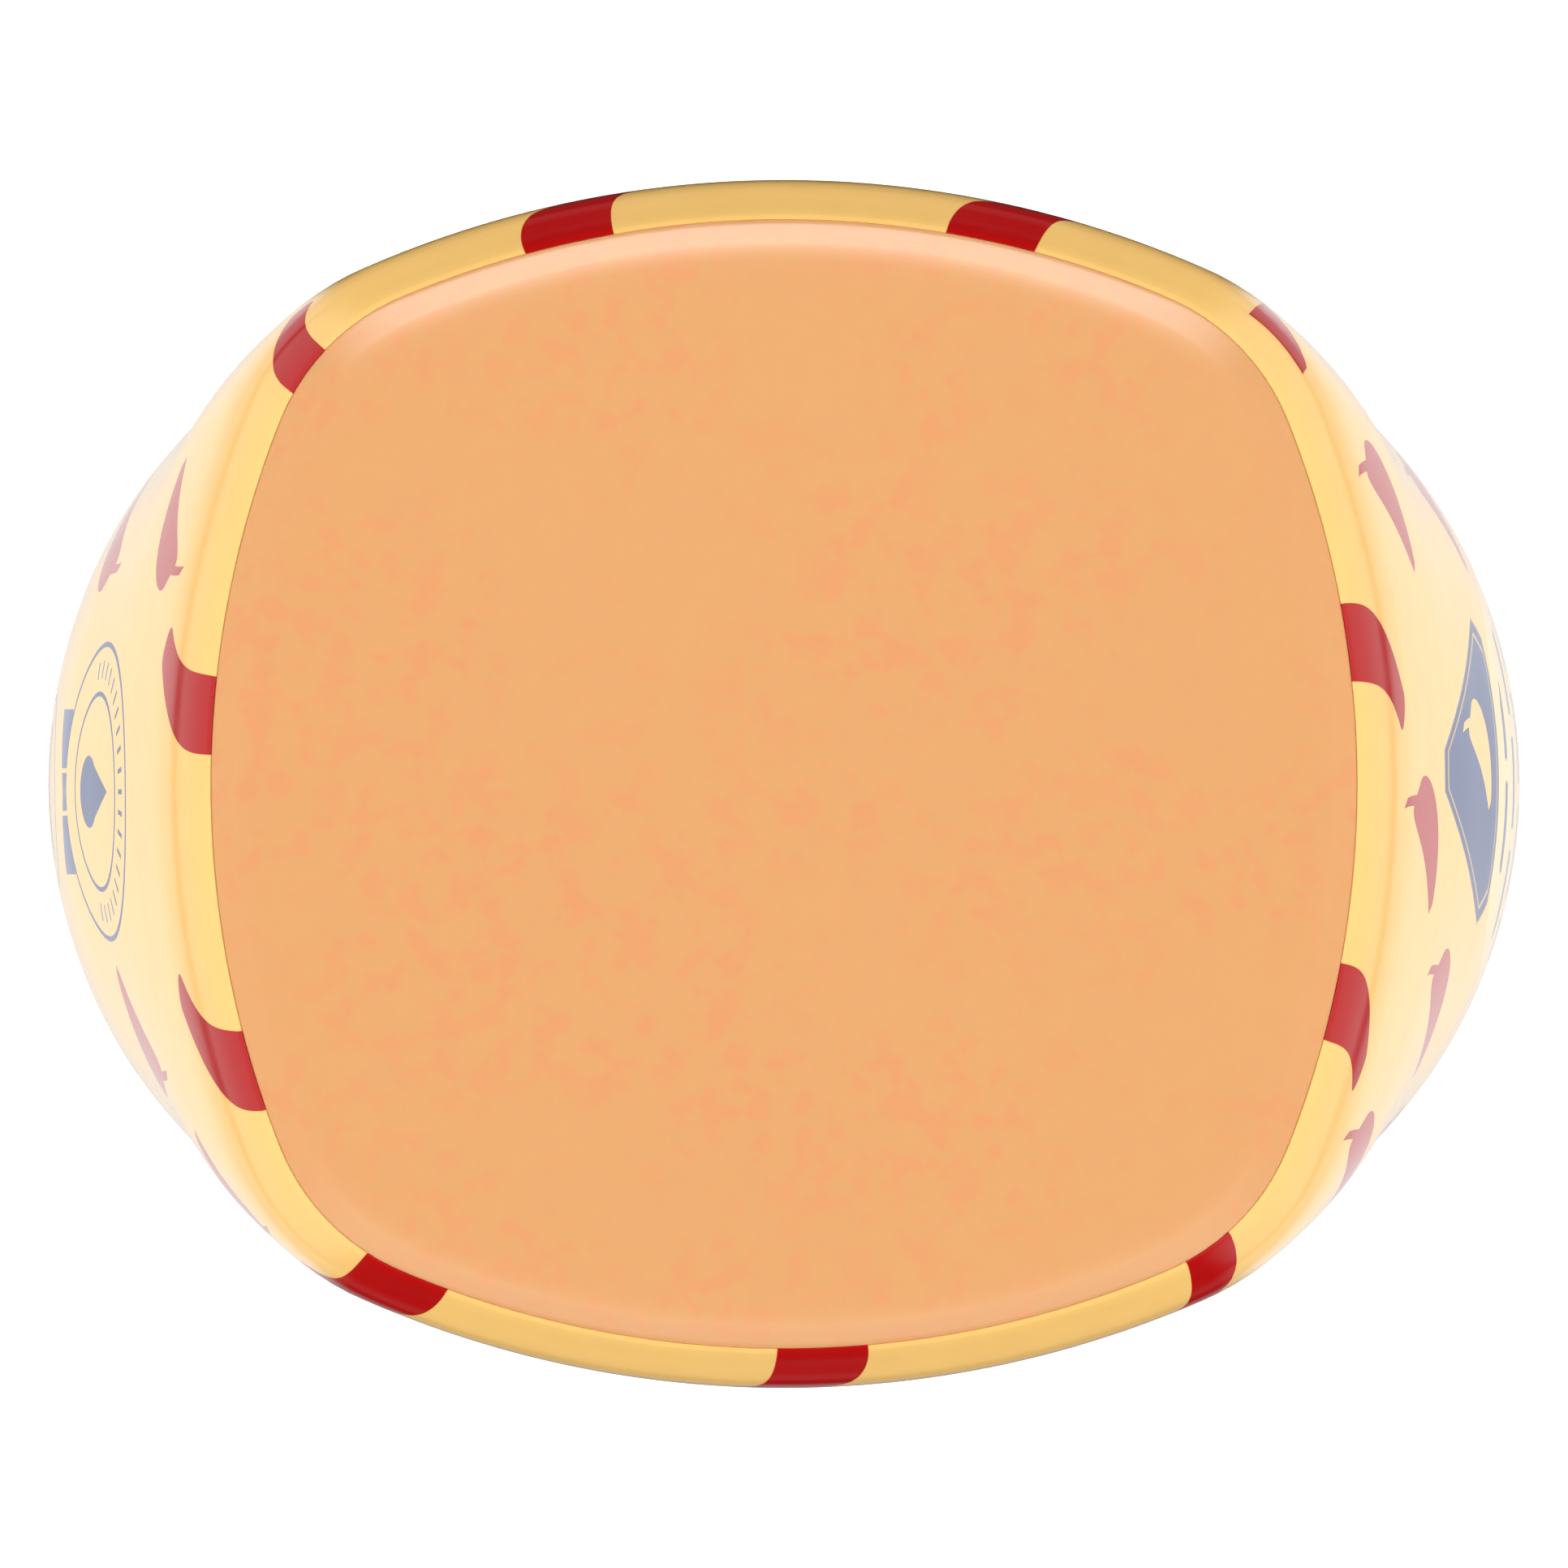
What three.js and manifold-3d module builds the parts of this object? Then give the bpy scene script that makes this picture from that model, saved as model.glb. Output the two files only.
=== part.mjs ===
// A cap-down squeeze bottle of creamy sauce, in millimetres, +Z up.
//
// The bottle stands on the flat face of its flip lid, with its base uppermost. The origin is the
// middle of that lid face. The wide faces look along -Y (front) and +Y (back), the lid's hinge is
// at the back, and the lid opens downwards at the front once the bottle is picked up.
//
// From the outside in: a printed shrink sleeve, a blow-moulded bottle with a screw neck, the sauce,
// a foil seal across the mouth, a screw closure with a silicone valve held by a retainer ring,
// and the flip lid that plugs the spout.

import * as THREE from "three";
import { mergeVertices } from "three/addons/utils/BufferGeometryUtils.js";
import Module from "manifold-3d";

const wasm = await Module();
wasm.setup();

// ---- Driving dimensions ----

const HEIGHT = 176; // lid face to base
const HALF_WIDTH = 35.6; // at the widest level
const HALF_DEPTH = 28.2;
const BOTTLE_WALL = 0.6;
const BASE_WALL = 1.2;
const SLEEVE_GAP = 0.1;
const SLEEVE_THICKNESS = 0.2;
const SAUCE_GAP = 0.3;

const CAP_RADIUS = 25.4;
const CAP_HEIGHT = 30;
const CAP_WALL = 1.6;
const LID_HEIGHT = 9.5;
const PARTING_GAP = 0.3;
const FIT_GAP = 0.25; // between closure pieces that touch

const NECK_RADIUS = 17.5; // outside the neck wall, between the threads
const NECK_WALL = 2;
const MOUTH_Z = 15.6;
const THREAD_PITCH = 4.2;
const THREAD_BEAD = 0.9;
const THREAD_TURNS = 1.4;

const BODY_SEGMENTS = 40; // facets round the bottle
const CAP_SEGMENTS = 48;
const SMALL_SEGMENTS = 28;

// ---- Materials ----

const finish = (color, roughness, extra = {}) =>
  new THREE.MeshStandardMaterial({ color, roughness, metalness: 0, ...extra });
const clearPet = finish(0xf2b27c, 0.12, { transparent: true, opacity: 0.5 });
const sauceOrange = finish(0xf3b174, 0.45);
const printedFilm = finish(0xf0c46c, 0.25);
const foil = finish(0xd8d8d8, 0.3, { metalness: 0.9 });
const capRed = finish(0xa8151a, 0.4);
const silicone = finish(0xe9e4dc, 0.55);
const naturalPlastic = finish(0xf4f1ea, 0.45);

// ---- Solids ----

const group = new THREE.Group();

// A three.js geometry as a manifold-3d solid.
function solid(geometry) {
  const shape = geometry.clone();
  shape.deleteAttribute("normal");
  shape.deleteAttribute("uv");
  const merged = mergeVertices(shape, 1e-4);
  return new wasm.Manifold(
    new wasm.Mesh({
      numProp: 3,
      vertProperties: new Float32Array(merged.attributes.position.array),
      triVerts: new Uint32Array(merged.index.array),
    }),
  );
}

function addNode(name, shape, material) {
  const { vertProperties, triVerts } = shape.getMesh();
  const geometry = new THREE.BufferGeometry()
    .setAttribute("position", new THREE.BufferAttribute(vertProperties, 3))
    .setIndex(new THREE.BufferAttribute(triVerts, 1));
  const mesh = new THREE.Mesh(geometry, material);
  mesh.name = name;
  group.add(mesh);
}

// A solid turned about Z from [radius, z] points that start and end on the axis, lowest first.
function turned(points, segments) {
  const profile = points.map(([r, z]) => new THREE.Vector2(r, z));
  return solid(new THREE.LatheGeometry(profile, segments).rotateX(Math.PI / 2));
}

// A ring turned about Z from [radius, z] points that go round its section and close on themselves.
function turnedRing(points, segments) {
  return turned([...points, points[0]], segments);
}

function box(width, depth, height, x, y, z) {
  return solid(new THREE.BoxGeometry(width, depth, height).translate(x, y, z));
}

// A rounded screw thread: a bead that climbs anticlockwise round the Z axis.
class Helix extends THREE.Curve {
  constructor(radius, startZ, pitch, turns) {
    super();
    Object.assign(this, { radius, startZ, pitch, turns });
  }

  getPoint(t, target = new THREE.Vector3()) {
    const angle = t * this.turns * 2 * Math.PI;
    return target.set(
      this.radius * Math.cos(angle),
      this.radius * Math.sin(angle),
      this.startZ + t * this.turns * this.pitch,
    );
  }
}

function threadBead(radius, startZ) {
  const section = new THREE.Shape().absarc(0, 0, THREAD_BEAD, 0, 2 * Math.PI);
  const path = new Helix(radius, startZ, THREAD_PITCH, THREAD_TURNS);
  return solid(
    new THREE.ExtrudeGeometry(section, {
      steps: 34,
      curveSegments: 4,
      extrudePath: path,
    }),
  );
}

// ---- The bottle's shape ----

// Sections at a few depths below the base: [depth, half width, half depth, squareness].
// Squareness 1 is a square with bowed sides and soft corners, and 0 is an ellipse.
const STATIONS = [
  [0, 23.8, 23.5, 1],
  [0.25, 25.1, 24.8, 1],
  [1.3, 26.5, 26.1, 1],
  [2.6, 27.35, 26.85, 1],
  [4.3, 28.1, 27.45, 1],
  [8, 29.3, 28, 0.97],
  [14, 31, HALF_DEPTH, 0.76],
  [21, 32.9, HALF_DEPTH, 0.46],
  [28.5, 34.7, HALF_DEPTH, 0.18],
  [37, HALF_WIDTH, HALF_DEPTH, 0],
  [49, 35.2, 28, 0],
  [60, 34.1, 27.6, 0],
  [72, 32.3, 26.9, 0],
  [84, 30.4, 26.1, 0],
  [97, 28.6, 25.3, 0],
  [118, 26.8, 24.6, 0],
  [134, 26.2, 24.5, 0],
  [141, 25.9, 24.4, 0],
  [144.4, 25, 24, 0],
  [146, 22.8, 22.4, 0],
  [147.2, 19.2, 19.2, 0],
  [148.3, NECK_RADIUS, NECK_RADIUS, 0],
  [HEIGHT - MOUTH_Z, NECK_RADIUS, NECK_RADIUS, 0],
];
const NECK_DEPTH = 148.3; // where the straight neck starts
const BASE_EASE_DEPTH = 12; // how far down the base's extra thickness fades out
const SIDE_BOW = 1.72; // radius of a bowed side, as a share of its distance from the middle
const FRONT_BOW = 1.74;
const CORNER_SOFTNESS = 0.1; // share of the size that the corners are eased by

// The distance from the middle to a bowed side, whose middle is `reach` away.
function bowedSide(reach, bow, along, across) {
  const radius = bow * reach;
  const back = radius - reach;
  return Math.sqrt(radius ** 2 - (back * across) ** 2) - back * along;
}

function softSquare(a, b, cos, sin) {
  const side = bowedSide(a, SIDE_BOW, cos, sin);
  const front = bowedSide(b, FRONT_BOW, sin, cos);
  const ease = (CORNER_SOFTNESS * (a + b)) / 2;
  const near = Math.max(ease - Math.abs(side - front), 0) / ease;
  return Math.min(side, front) - (near ** 2 * ease) / 4;
}

function sectionRadius([, a, b, squareness], angle) {
  const cos = Math.abs(Math.cos(angle));
  const sin = Math.abs(Math.sin(angle));
  const ellipse = 1 / Math.hypot(cos / a, sin / b);
  return squareness * softSquare(a, b, cos, sin) + (1 - squareness) * ellipse;
}

// The bottle's outline as a solid, taken in by `inset` all round and by `baseInset` at the base.
// It ends at `bottomZ` in the neck. Each ring of a lathed solid is reshaped to its section.
function vessel(inset, baseInset, bottomZ, neckInset = inset) {
  const rings = STATIONS.map(([depth, a, b, squareness]) => {
    const taken = depth >= NECK_DEPTH ? neckInset : inset;
    const ease = Math.max(0, 1 - depth / BASE_EASE_DEPTH);
    return [depth + baseInset * ease, a - taken, b - taken, squareness];
  });
  rings[rings.length - 1][0] = HEIGHT - bottomZ;
  rings.reverse();
  const first = rings[0];
  const last = rings[rings.length - 1];
  const closed = [
    [first[0], 0, 0, 0],
    ...rings,
    [last[0], 0, 0, 0],
  ];
  const profile = closed.map(([depth, a]) => new THREE.Vector2(a, HEIGHT - depth));
  const geometry = new THREE.LatheGeometry(profile, BODY_SEGMENTS);
  const position = geometry.getAttribute("position");
  for (let i = 0; i <= BODY_SEGMENTS; i += 1) {
    const angle = ((i % BODY_SEGMENTS) / BODY_SEGMENTS) * 2 * Math.PI;
    closed.forEach((ring, j) => {
      const radius = ring[1] ? sectionRadius(ring, angle) : 0;
      position.setXYZ(
        i * closed.length + j,
        radius * Math.cos(angle),
        radius * Math.sin(angle),
        HEIGHT - ring[0],
      );
    });
  }
  return solid(geometry);
}

// ---- Bottle: clear blow-moulded shell, open at the neck ----

const SUPPORT_RING = { radius: 20.4, low: 26.2, high: 27.3 };

function makeBottle() {
  const neckThread = threadBead(NECK_RADIUS + 0.2, MOUTH_Z + 2.6);
  const { radius, low, high } = SUPPORT_RING;
  const supportRing = turned([[0, low], [radius, low], [radius, high], [0, high]], BODY_SEGMENTS);
  const cavity = vessel(BOTTLE_WALL, BASE_WALL, MOUTH_Z - 1, NECK_WALL);
  return vessel(0, 0, MOUTH_Z).add(supportRing).add(neckThread).subtract(cavity);
}

// ---- Sauce: fills the bottle and its neck, down to the foil ----

function makeSauce() {
  const inset = BOTTLE_WALL + SAUCE_GAP;
  return vessel(inset, BASE_WALL + SAUCE_GAP, MOUTH_Z + SAUCE_GAP, NECK_WALL + SAUCE_GAP);
}

// ---- Shrink sleeve: printed film drawn tight round the body, open at both ends ----

const SLEEVE_LOW = 33.4;
const SLEEVE_HIGH = HEIGHT - 1.3;

function makeSleeve() {
  const outside = vessel(-SLEEVE_GAP - SLEEVE_THICKNESS, 0, MOUTH_Z);
  const inside = vessel(-SLEEVE_GAP, 0, MOUTH_Z);
  const length = SLEEVE_HIGH - SLEEVE_LOW;
  const span = box(100, 100, length, 0, 0, SLEEVE_LOW + length / 2);
  return outside.subtract(inside).intersect(span);
}

// ---- Foil seal: welded across the mouth until first use ----

function makeFoilSeal() {
  const low = MOUTH_Z - 0.4;
  const high = MOUTH_Z - 0.15;
  const radius = NECK_RADIUS - 0.1;
  return turned([[0, low], [radius, low], [radius, high], [0, high]], CAP_SEGMENTS);
}

// ---- Closure body: outer skirt, threaded inner skirt, deck and spout in one moulding ----

const DECK_LOW = LID_HEIGHT + PARTING_GAP;
const DECK_HIGH = DECK_LOW + 1.6;
const SPOUT = { outer: 7.8, bore: 6.2, mouth: 5.2, tip: 5.2, lip: 6.2 };
const INNER_SKIRT = { inner: 18.9, outer: 20.2, top: 25.6 };
const SEAL_BEAD = { inner: 14.6, outer: 16.4, top: MOUTH_Z - 0.65 };
const SKIRT_TOP_RADIUS = 24.9;
const THUMB_SCOOP = { radius: 20, depth: 1 };
const HINGE = { width: 12, slot: 0.9, reachUp: 4.4, reachDown: 2.6, film: 0.55 };

function makeClosureBody() {
  const ring = turnedRing(
    [
      [SPOUT.mouth, SPOUT.tip],
      [SPOUT.outer - 0.5, SPOUT.tip],
      [SPOUT.outer, SPOUT.tip + 0.5],
      [SPOUT.outer, DECK_LOW],
      [CAP_RADIUS, DECK_LOW],
      [SKIRT_TOP_RADIUS, CAP_HEIGHT - 0.5],
      [SKIRT_TOP_RADIUS - 0.5, CAP_HEIGHT],
      [SKIRT_TOP_RADIUS - CAP_WALL, CAP_HEIGHT],
      [CAP_RADIUS - CAP_WALL, DECK_HIGH],
      [INNER_SKIRT.outer, DECK_HIGH],
      [INNER_SKIRT.outer, INNER_SKIRT.top],
      [INNER_SKIRT.inner, INNER_SKIRT.top],
      [INNER_SKIRT.inner, DECK_HIGH],
      [SEAL_BEAD.outer, DECK_HIGH],
      [SEAL_BEAD.outer, SEAL_BEAD.top],
      [SEAL_BEAD.inner, SEAL_BEAD.top],
      [SEAL_BEAD.inner, DECK_HIGH],
      [SPOUT.bore, DECK_HIGH],
      [SPOUT.bore, SPOUT.lip],
      [SPOUT.mouth, SPOUT.lip],
    ],
    CAP_SEGMENTS,
  );
  const thread = threadBead(INNER_SKIRT.inner + 0.1, MOUTH_Z + 2.6 - THREAD_PITCH / 2);
  const scoop = solid(
    new THREE.SphereGeometry(THUMB_SCOOP.radius, 48, 24).translate(
      0,
      -CAP_RADIUS - THUMB_SCOOP.radius + THUMB_SCOOP.depth,
      DECK_LOW,
    ),
  );
  const hingeSlot = box(
    HINGE.width + 2 * FIT_GAP,
    2 * HINGE.slot,
    HINGE.reachUp,
    0,
    CAP_RADIUS,
    DECK_LOW + HINGE.reachUp / 2,
  );
  return ring.add(thread).subtract(scoop).subtract(hingeSlot);
}

// ---- Silicone valve: a slit dome that opens when the bottle is squeezed ----

const VALVE = { flange: 5.9, throat: 4.3, low: SPOUT.lip + 0.2, high: 7.9, crown: 8.5, skin: 0.7 };
const SLIT = { length: 5, width: 0.3 };

function makeValve() {
  const { flange, throat, low, high, crown, skin } = VALVE;
  const dome = turned(
    [
      [0, crown - skin],
      [throat * 0.5, crown - skin - 0.35],
      [throat * 0.85, low + 0.5],
      [throat, low],
      [flange, low],
      [flange, high],
      [throat, high],
      [throat * 0.5, crown - 0.1],
      [0, crown + 0.1],
    ],
    SMALL_SEGMENTS,
  );
  const along = box(SLIT.length, SLIT.width, 6, 0, 0, crown);
  const across = box(SLIT.width, SLIT.length, 6, 0, 0, crown);
  return dome.subtract(along.add(across));
}

// ---- Valve retainer: a ring pushed into the spout from inside, which clamps the valve's flange ----

function makeRetainer() {
  const low = VALVE.high + FIT_GAP;
  const outer = SPOUT.bore - FIT_GAP;
  const flangeLow = DECK_HIGH + FIT_GAP;
  const flangeHigh = flangeLow + 1.1;
  return turnedRing(
    [
      [VALVE.throat + 0.3, low],
      [outer, low],
      [outer, flangeLow],
      [outer + 2.6, flangeLow],
      [outer + 2.6, flangeHigh],
      [VALVE.throat + 0.3, flangeHigh],
    ],
    SMALL_SEGMENTS,
  );
}

// ---- Living hinge: the thin strip that joins closure and lid, flexing on the parting line ----

function makeHinge() {
  const height = HINGE.reachUp - 2 * FIT_GAP;
  const outside = CAP_RADIUS - 0.15;
  return box(
    HINGE.width,
    HINGE.film,
    height,
    0,
    outside - HINGE.film / 2,
    DECK_LOW + HINGE.reachUp / 2,
  );
}

// ---- Flip lid: a flat cup with a collar round the spout and a stud under the valve ----

const LID_EDGE = 2; // rounding between the standing face and the wall
const LID_FLOOR = 1.7;
const COLLAR = { inner: SPOUT.outer + 0.5, outer: SPOUT.outer + 1.5, top: 8 };
const STUD = { radius: 3, top: VALVE.low };

function makeLid() {
  const edge = [];
  for (let step = 0; step <= 4; step += 1) {
    const angle = (step / 4) * (Math.PI / 2);
    edge.push([
      CAP_RADIUS - LID_EDGE + LID_EDGE * Math.sin(angle),
      LID_EDGE - LID_EDGE * Math.cos(angle),
    ]);
  }
  const cup = turned(
    [
      [0, 0],
      ...edge,
      [CAP_RADIUS, LID_HEIGHT],
      [CAP_RADIUS - CAP_WALL, LID_HEIGHT],
      [CAP_RADIUS - CAP_WALL - 0.2, LID_FLOOR],
      [COLLAR.outer, LID_FLOOR],
      [COLLAR.outer, COLLAR.top],
      [COLLAR.inner, COLLAR.top],
      [COLLAR.inner, LID_FLOOR],
      [STUD.radius, LID_FLOOR],
      [STUD.radius - 0.3, STUD.top],
      [0, STUD.top],
    ],
    CAP_SEGMENTS,
  );
  const hingeSlot = box(
    HINGE.width + 2 * FIT_GAP,
    2 * HINGE.slot,
    2 * HINGE.reachDown,
    0,
    CAP_RADIUS,
    LID_HEIGHT,
  );
  return cup.subtract(hingeSlot);
}

addNode("bottle", makeBottle(), clearPet);
addNode("sauce", makeSauce(), sauceOrange);
addNode("shrink_sleeve", makeSleeve(), printedFilm);
addNode("foil_seal", makeFoilSeal(), foil);
addNode("closure_body", makeClosureBody(), capRed);
addNode("silicone_valve", makeValve(), silicone);
addNode("valve_retainer", makeRetainer(), naturalPlastic);
addNode("living_hinge", makeHinge(), capRed);
addNode("flip_lid", makeLid(), capRed);

export default group;
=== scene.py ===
"""A cap-down squeeze bottle of creamy sauce, standing on its flip lid with its base uppermost."""

import math

import bmesh
import bpy
import numpy as np
from mathutils import Matrix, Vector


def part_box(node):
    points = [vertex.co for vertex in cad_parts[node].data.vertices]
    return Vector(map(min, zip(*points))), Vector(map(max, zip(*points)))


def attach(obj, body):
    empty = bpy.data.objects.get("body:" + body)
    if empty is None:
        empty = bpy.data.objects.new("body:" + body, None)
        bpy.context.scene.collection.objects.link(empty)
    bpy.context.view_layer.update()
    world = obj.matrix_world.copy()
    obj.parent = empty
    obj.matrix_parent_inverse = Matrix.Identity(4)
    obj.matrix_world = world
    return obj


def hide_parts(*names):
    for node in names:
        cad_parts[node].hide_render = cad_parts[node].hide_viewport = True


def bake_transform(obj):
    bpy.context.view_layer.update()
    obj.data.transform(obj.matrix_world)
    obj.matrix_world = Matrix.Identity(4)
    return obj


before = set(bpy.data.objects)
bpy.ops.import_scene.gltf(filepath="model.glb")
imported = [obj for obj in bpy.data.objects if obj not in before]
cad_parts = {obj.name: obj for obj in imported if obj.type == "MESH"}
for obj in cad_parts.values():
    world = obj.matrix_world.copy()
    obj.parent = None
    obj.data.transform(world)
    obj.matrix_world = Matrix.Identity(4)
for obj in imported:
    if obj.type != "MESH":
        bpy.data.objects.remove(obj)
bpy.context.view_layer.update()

# ---- Bottle ----
# A clear PET shell, blow-moulded in one piece with its screw neck. The body is nearly square at
# the base, under the hand it turns into a wide oval, and it narrows to the neck at the bottom.

BASE_Z = 1000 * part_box("bottle")[1].z  # lengths are in millimetres until a piece is finished
MOUTH_Z = 1000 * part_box("bottle")[0].z
WALL = 0.25
BASE_WALL = 0.4
BASE_DISH = 0.28  # how far the base is pushed in at its middle
FLAT_REACH = 23.05  # half width of the flat base, where its rounding starts
NECK_RADIUS = 17.5
NECK_BORE = 15.5
NECK_DEPTH = 148.4  # depth below the base at which the neck starts
BODY_STEPS = 240

# Depth below the base, half width, half depth, and squareness from 1 down to an oval at 0.
BODY_SECTIONS = (
    (0.25, 10, 9.9, 1),
    (0.03, 20.6, 20.4, 1),
    (0.02, FLAT_REACH, 22.8, 1),
    (0.22, 25.3, 25, 1),
    (0.62, 26.1, 25.75, 1),
    (0.98, 26.62, 26.22, 1),
    (1.25, 26.85, 26.45, 1),
    (2.5, 27.55, 27.05, 1),
    (4.3, 28.3, 27.88, 1),
    (6, 28.88, 28.13, 1),
    (8, 29.5, 28.2, 0.97),
    (14, 31.2, 28.25, 0.8),
    (21, 33.1, 28.25, 0.46),
    (28.5, 34.9, 28.25, 0.25),
    (37, 35.8, 28.25, 0.14),
    (49, 35.4, 28.1, 0.05),
    (60, 34.3, 27.8, 0),
    (72, 32.5, 27.1, 0),
    (84, 30.6, 26.3, 0),
    (97, 28.8, 25.5, 0),
    (118, 27, 24.8, 0),
    (134, 26.4, 24.7, 0),
    (141, 26.1, 24.6, 0),
    (144.4, 25, 24, 0),
    (146, 22.8, 22.4, 0),
    (147.2, 19.2, 19.2, 0),
    (NECK_DEPTH, NECK_RADIUS, NECK_RADIUS, 0),
    (BASE_Z - MOUTH_Z, NECK_RADIUS, NECK_RADIUS, 0),
)
SIDE_BOW = 1.72  # radius of a bowed side, as a share of its distance from the middle
FRONT_BOW = 1.74
CORNER_EASE = 0.1  # how much of a reach the blend of two sides takes at a corner
SHOULDER_DEPTH = 146.9  # how deep the inside follows the outside


def smooth_outline(points, spacing):
    """A smooth curve through the points, in three rows or more from each to the next."""
    points = np.array(points, float)
    steps = np.hypot(*np.diff(points[:, :2], axis=0).T)
    along = np.concatenate(([0], np.cumsum(steps)))
    slope = np.empty_like(points)
    slope[1:-1] = (points[2:] - points[:-2]) / (along[2:] - along[:-2])[:, None]
    slope[0] = (points[1] - points[0]) / steps[0]
    slope[-1] = (points[-1] - points[-2]) / steps[-1]
    rows = []
    for i, step in enumerate(steps):
        t = np.linspace(0, 1, max(3, math.ceil(step / spacing)), endpoint=False)[:, None]
        rows.append(
            (2 * t**3 - 3 * t**2 + 1) * points[i]
            + (t**3 - 2 * t**2 + t) * step * slope[i]
            + (3 * t**2 - 2 * t**3) * points[i + 1]
            + (t**3 - t**2) * step * slope[i + 1]
        )
    return np.concatenate([*rows, points[-1:]])


outline = smooth_outline(BODY_SECTIONS, 1.3)
fall = outline[int(np.argmax(outline[:, 1] > FLAT_REACH)) :]  # past here it only goes down


def bowed(reach, bow, along, across):
    """Distance to a side that bows out round a circle, with its middle at reach."""
    back = (bow - 1) * reach
    return math.sqrt((bow * reach) ** 2 - (back * across) ** 2) - back * along


def section_reach(depth, angle):
    """The body's radius at a depth and angle, as a share of its half width there."""
    a, b, square = (np.interp(depth, fall[:, 0], fall[:, i]) for i in (1, 2, 3))
    along, across = abs(math.cos(angle)), abs(math.sin(angle))
    side, front = bowed(a, SIDE_BOW, along, across), bowed(b, FRONT_BOW, across, along)
    ease = CORNER_EASE * (a + b) / 2
    near = max(ease - abs(side - front), 0) / ease
    corner = min(side, front) - near**2 * ease / 4
    oval = 1 / math.hypot(along / a, across / b)
    return (square * corner + (1 - square) * oval) / a


def turned(points, steps):
    """A skin turned about the Z axis from [radius, height] points."""
    bm = bmesh.new()
    verts = [bm.verts.new((r, 0, z)) for r, z in points]
    edges = [bm.edges.new(pair) for pair in zip(verts, verts[1:])]
    bmesh.ops.spin(
        bm,
        geom=verts + edges,
        cent=(0, 0, 0),
        axis=(0, 0, 1),
        dvec=(0, 0, 0),
        angle=math.tau,
        steps=steps,
        use_merge=True,
        use_duplicate=False,
    )
    bmesh.ops.remove_doubles(bm, verts=bm.verts, dist=1e-4)
    bmesh.ops.recalc_face_normals(bm, faces=bm.faces)
    return bm


def shape_to_body(bm):
    """Moves the rings of a turned skin out to the body's own sections."""
    reach = {}
    for v in bm.verts:
        key = round(BASE_Z - v.co.z, 4), round(math.atan2(v.co.y, v.co.x), 4)
        if key not in reach:
            reach[key] = section_reach(*key)
        v.co.x *= reach[key]
        v.co.y *= reach[key]


def add_thread(bm, radius, low, turns=1.4, bead=0.9, pitch=4.2):
    """Adds a rounded right-hand screw thread to a skin."""
    steps = round(turns * 72)
    section = bmesh.ops.create_circle(bm, cap_ends=False, radius=bead, segments=8)["verts"]
    upright = Matrix.Rotation(math.pi / 2, 3, "X")
    bmesh.ops.rotate(bm, verts=section, cent=(0, 0, 0), matrix=upright)
    bmesh.ops.translate(bm, verts=section, vec=(radius, 0, low))
    first = bmesh.ops.contextual_create(bm, geom=section)["faces"]
    spun = bmesh.ops.spin(
        bm,
        geom=first,
        cent=(0, 0, 0),
        axis=(0, 0, 1),
        dvec=(0, 0, turns * pitch / steps),
        angle=turns * math.tau,
        steps=steps,
        use_merge=False,
        use_duplicate=False,
    )
    return spun["geom_last"]


def add_skin(bm, other):
    """Adds another skin to a skin, and frees the other."""
    mesh = bpy.data.meshes.new("added skin")
    other.to_mesh(mesh)
    other.free()
    bm.from_mesh(mesh)
    bpy.data.meshes.remove(mesh)


def soften(bm, width, segments=2, where=lambda co: True):
    """Rounds the sharp edges of a skin whose two ends both lie where they may."""
    sharp = math.radians(35)
    edges = [e for e in bm.edges if e.is_manifold and e.calc_face_angle() > sharp]
    edges = [e for e in edges if all(where(v.co) for v in e.verts)]
    bmesh.ops.bevel(
        bm,
        geom=edges,
        offset=width,
        offset_type="OFFSET",
        segments=segments,
        profile=0.5,
        affect="EDGES",
        material=-1,
        clamp_overlap=True,
    )


def finish_piece(name, bm, material, nodes, body="bottle_body", crease=32):
    """Makes a piece of a mesh in millimetres, and joins it to the frame."""
    bmesh.ops.scale(bm, vec=(0.001, 0.001, 0.001), verts=bm.verts)
    mesh = bpy.data.meshes.new(name)
    bm.to_mesh(mesh)
    bm.free()
    mesh.shade_smooth()
    mesh.set_sharp_from_angle(angle=math.radians(crease))
    piece = bpy.data.objects.new(name, mesh)
    bpy.context.scene.collection.objects.link(piece)
    mesh.materials.append(material)
    if body:
        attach(piece, body)
    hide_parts(*nodes)
    return piece


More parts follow.
